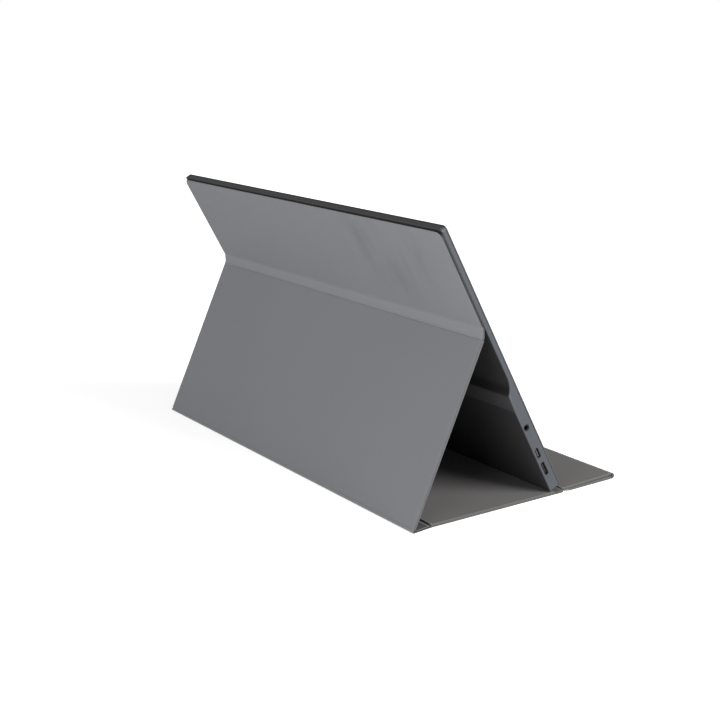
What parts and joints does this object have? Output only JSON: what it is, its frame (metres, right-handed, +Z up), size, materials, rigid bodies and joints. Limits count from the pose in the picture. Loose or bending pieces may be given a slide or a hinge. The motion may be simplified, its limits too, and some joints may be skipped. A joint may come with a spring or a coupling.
{
  "type": "portable monitor with folding cover",
  "caption": "Slim portable monitor leaning on its bottom edge in a folding magnetic cover whose creased panels prop it up from behind.",
  "frame": {"origin": "middle of the footprint, on the desk", "axes": "+X along the monitor's width, away from the sockets; the screen faces -Y and leans back; +Z up"},
  "size_m": [0.3578, 0.1862, 0.2062],
  "materials": {
    "cover_skin": "matte synthetic leather",
    "cover_lining": "short-nap microfibre",
    "cover_board": "fibreglass-filled stiffener",
    "magnet": "nickel plated",
    "catch_plate": "rolled",
    "rear_shell": "fine spark texture",
    "front_bezel": "fine spark texture",
    "screen": "anti-glare",
    "optical_film": "diffusing",
    "light_guide": "clear acrylic",
    "panel_tray": "pressed sheet",
    "led_strip": "lamps on film",
    "circuit_board": "solder mask",
    "chips": "moulded epoxy",
    "fasteners": "zinc plated",
    "flat_cable": "polyimide film",
    "speakers": "moulded",
    "sockets": "dark nickel",
    "jack_body": "moulded",
    "switch_gear": "moulded",
    "buttons": "fine spark texture"
  },
  "bodies": {
    "base": {"base_panel_skin": "cover_skin", "base_panel_board": "cover_board", "base_panel_lining": "cover_lining", "base_panel_catch": "catch_plate", "spine_crease": "cover_skin", "base_crease": "cover_skin"},
    "spine": {"spine_skin": "cover_skin", "spine_board": "cover_board", "spine_lining": "cover_lining", "kick_crease": "cover_skin"},
    "kick": {"kick_panel_skin": "cover_skin", "kick_panel_board": "cover_board", "kick_panel_lining": "cover_lining", "kick_panel_magnets": "magnet", "upper_crease": "cover_skin"},
    "monitor": {"rear_shell": "rear_shell", "front_bezel": "front_bezel", "lcd_cell": "screen", "diffuser_films": "optical_film", "light_guide": "light_guide", "reflector_sheet": "optical_film", "panel_tray": "panel_tray", "led_strip": "led_strip", "main_board": "circuit_board", "board_screws": "fasteners", "shield_can": "fasteners", "board_chips": "chips", "driver_board": "circuit_board", "display_cable": "flat_cable", "speaker_left": "speakers", "speaker_right": "speakers", "usb_c_port": "sockets", "mini_hdmi_port": "sockets", "headphone_jack": "jack_body", "rocker_bracket": "switch_gear", "side_switches": "switch_gear", "button_board": "circuit_board", "upper_panel_skin": "cover_skin", "upper_panel_board": "cover_board", "upper_panel_lining": "cover_lining", "upper_panel_magnets": "magnet"},
    "power_button": {"power_button": "buttons"},
    "menu_rocker": {"menu_rocker": "buttons"},
    "front_flap": {"front_flap_skin": "cover_skin", "front_flap_board": "cover_board", "front_flap_lining": "cover_lining", "front_fold": "cover_skin"},
    "tucked_flap": {"tucked_flap_skin": "cover_skin", "tucked_flap_board": "cover_board", "tucked_flap_lining": "cover_lining", "tucked_flap_magnets": "magnet"}
  },
  "joints": [
    {"name": "spine_fold", "type": "hinge", "parent": "base", "child": "spine", "pos_m": [0, 0.07813, 0.00135], "axis": [1, 0, 0], "range_deg": [-90, 0], "deforming": ["spine_crease"]},
    {"name": "kick_fold", "type": "hinge", "parent": "spine", "child": "kick", "pos_m": [0, 0.0936, 0.0003], "axis": [-1, 0, 0], "range_deg": [0, 24], "deforming": ["kick_crease"]},
    {"name": "upper_fold", "type": "hinge", "parent": "kick", "child": "monitor", "pos_m": [0, 0.0317, 0.13028], "axis": [-1, 0, 0], "range_deg": [-41, 0.2], "deforming": ["upper_crease"]},
    {"name": "power_press", "type": "slide", "parent": "monitor", "child": "power_button", "axis": [-1, 0, 0], "range_m": [0, 0.0003], "stiffness_N_per_m": 3000},
    {"name": "menu_tilt", "type": "hinge", "parent": "monitor", "child": "menu_rocker", "pos_m": [0.1756, -0.01743, 0.03409], "axis": [0, -0.8835, 0.4684], "range_deg": [-3.5, 3.5], "stiffness_Nm_per_rad": 0.13},
    {"name": "flap_fold", "type": "hinge", "parent": "base", "child": "front_flap", "pos_m": [0, -0.03828, 0.0014], "axis": [-1, 0, 0], "range_deg": [-90, 48], "deforming": ["base_crease"]},
    {"name": "tuck_fold", "type": "hinge", "parent": "front_flap", "child": "tucked_flap", "pos_m": [0, -0.09103, 0.00222], "axis": [-1, 0, 0], "range_deg": [0, 180], "deforming": ["front_fold"]}
  ],
  "couplings": [
    {"joint": "upper_fold", "follows": "kick_fold", "ratio": -1.7}
  ]
}
